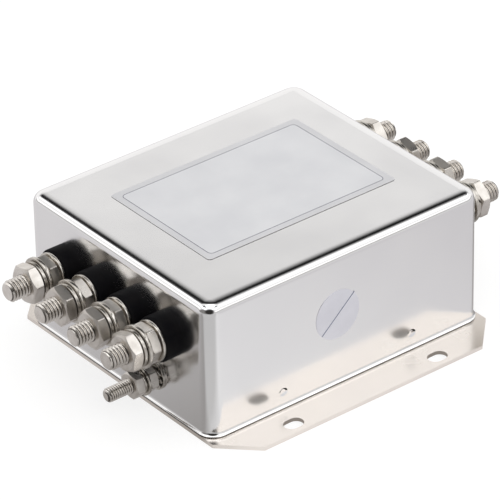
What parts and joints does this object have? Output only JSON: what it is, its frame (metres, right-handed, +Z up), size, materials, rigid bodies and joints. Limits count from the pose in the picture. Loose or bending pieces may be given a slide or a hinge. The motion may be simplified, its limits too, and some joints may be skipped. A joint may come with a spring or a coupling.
{
  "type": "emi line filter",
  "caption": "Low plated-steel can on a slotted flange plate, with insulated stud terminals along both ends and an earth stud",
  "frame": {"origin": "centre of the base plate's underside", "axes": "+X from the line terminals to the load terminals, +Z up out of the can's top"},
  "size_m": [0.1328, 0.101, 0.0412],
  "materials": {
    "can_steel": "bright nickel plate, satin",
    "plate_steel": "bright nickel plate, satin",
    "label_film": "silvery film",
    "sticker_film": "pale bluish film",
    "bushing_plastic": "moulded thermoset, black",
    "plated_fasteners": "nickel plate",
    "tinned_copper": "plain",
    "lead_insulation": "plain",
    "board_laminate": "plain",
    "nylon": "plain",
    "insulating_paper": "plain",
    "coated_ferrite": "epoxy coated",
    "enamelled_copper": "enamelled",
    "capacitor_case": "plain",
    "earth_capacitor_case": "plain",
    "resistor_body": "plain"
  },
  "bodies": {
    "root": {"can": "can_steel", "base_plate": "plate_steel", "rating_label": "label_film", "inspection_sticker": "sticker_film", "line_bushing_1": "bushing_plastic", "line_bushing_2": "bushing_plastic", "line_bushing_3": "bushing_plastic", "line_bushing_4": "bushing_plastic", "load_bushing_1": "bushing_plastic", "load_bushing_2": "bushing_plastic", "load_bushing_3": "bushing_plastic", "load_bushing_4": "bushing_plastic", "line_stud_1": "plated_fasteners", "line_stud_2": "plated_fasteners", "line_stud_3": "plated_fasteners", "line_stud_4": "plated_fasteners", "load_stud_1": "plated_fasteners", "load_stud_2": "plated_fasteners", "load_stud_3": "plated_fasteners", "load_stud_4": "plated_fasteners", "line_seat_washers": "plated_fasteners", "line_inner_nuts": "plated_fasteners", "line_flat_washers": "plated_fasteners", "line_spring_washers": "plated_fasteners", "line_outer_nuts": "plated_fasteners", "load_seat_washers": "plated_fasteners", "load_inner_nuts": "plated_fasteners", "load_flat_washers": "plated_fasteners", "load_spring_washers": "plated_fasteners", "load_outer_nuts": "plated_fasteners", "line_inner_insulators": "bushing_plastic", "load_inner_insulators": "bushing_plastic", "line_clamp_nuts": "plated_fasteners", "load_clamp_nuts": "plated_fasteners", "line_solder_lugs": "tinned_copper", "load_solder_lugs": "tinned_copper", "line_leads": "lead_insulation", "load_leads": "lead_insulation", "earth_stud": "plated_fasteners", "earth_wall_washer": "plated_fasteners", "earth_tooth_washer": "plated_fasteners", "earth_inner_nut": "plated_fasteners", "earth_flat_washer": "plated_fasteners", "earth_spring_washer": "plated_fasteners", "earth_outer_nut": "plated_fasteners", "earth_clamp_nuts": "plated_fasteners", "earth_bracket": "tinned_copper", "circuit_board": "board_laminate", "board_supports": "nylon", "insulating_sheet": "insulating_paper", "line_choke_core": "coated_ferrite", "load_choke_core": "coated_ferrite", "line_choke_windings": "enamelled_copper", "load_choke_windings": "enamelled_copper", "x_capacitors": "capacitor_case", "y_capacitors": "earth_capacitor_case", "discharge_resistors": "resistor_body"}
  },
  "joints": []
}
